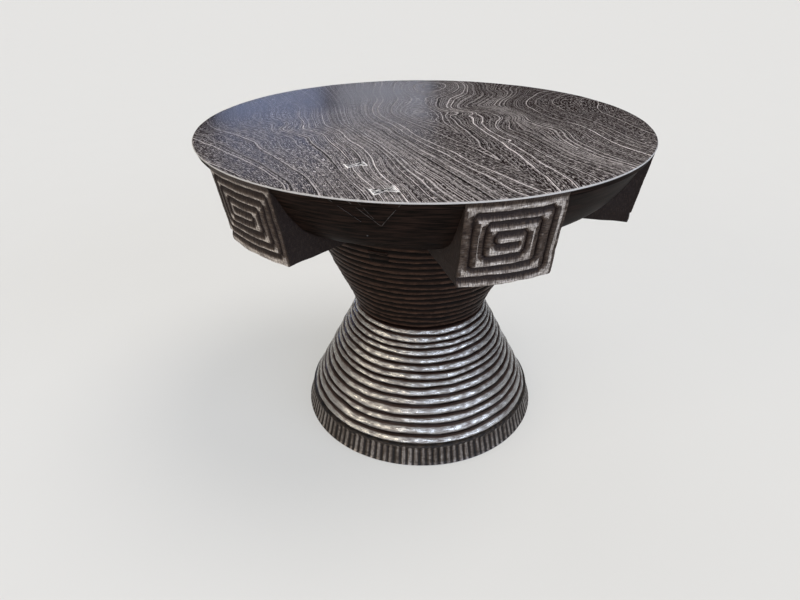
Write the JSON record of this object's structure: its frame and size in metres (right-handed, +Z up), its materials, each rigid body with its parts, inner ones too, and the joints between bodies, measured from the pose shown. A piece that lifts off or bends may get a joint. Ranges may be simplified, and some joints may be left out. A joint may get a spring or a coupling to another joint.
{
  "type": "african drum table",
  "caption": "Round wooden drum table: flat top over a bowl-shaped drum with spiral-carved radial blocks, on a ringed hourglass pedestal with a fluted base.",
  "frame": {"origin": "on the floor at the centre of the base", "axes": "+Z up along the pedestal's centre line; -Y is the front, through the middle of a carved block; +X to the right seen from the front"},
  "size_m": [0.8039, 0.804, 0.61],
  "materials": {
    "top_wood": "charcoal-stained teak, pores filled with pale lime wax, satin",
    "key_wood": "silver-grey limed teak, open grain, satin",
    "drum_wood": "dark smoked teak, sanded smooth, oiled satin",
    "block_wood": "hand-gouged teak, dark stain rubbed back to pewter grey on the ridges",
    "upper_cone_wood": "hand-carved teak rings, dark brown stain, waxed",
    "lower_cone_wood": "hand-carved teak rings, dark stain with burnished pewter-grey crests",
    "base_wood": "gouged teak flutes, dark grey stain, waxed",
    "dowel_wood": "plain turned beech, unfinished",
    "screw_steel": "zinc-plated steel wood screw",
    "pad_felt": "pressed dark felt"
  },
  "bodies": {
    "root": {"top_board": "top_wood", "top_key_large": "key_wood", "top_key_small": "key_wood", "drum_bowl": "drum_wood", "bowl_patch": "drum_wood", "carved_block_1": "block_wood", "carved_block_2": "block_wood", "carved_block_3": "block_wood", "carved_block_4": "block_wood", "carved_block_5": "block_wood", "carved_block_6": "block_wood", "pedestal_upper": "upper_cone_wood", "pedestal_patch": "upper_cone_wood", "pedestal_lower": "lower_cone_wood", "fluted_base": "base_wood", "board_dowels": "dowel_wood", "block_dowels": "dowel_wood", "head_dowels": "dowel_wood", "waist_dowel": "dowel_wood", "base_screws": "screw_steel", "floor_pads": "pad_felt"}
  },
  "joints": []
}
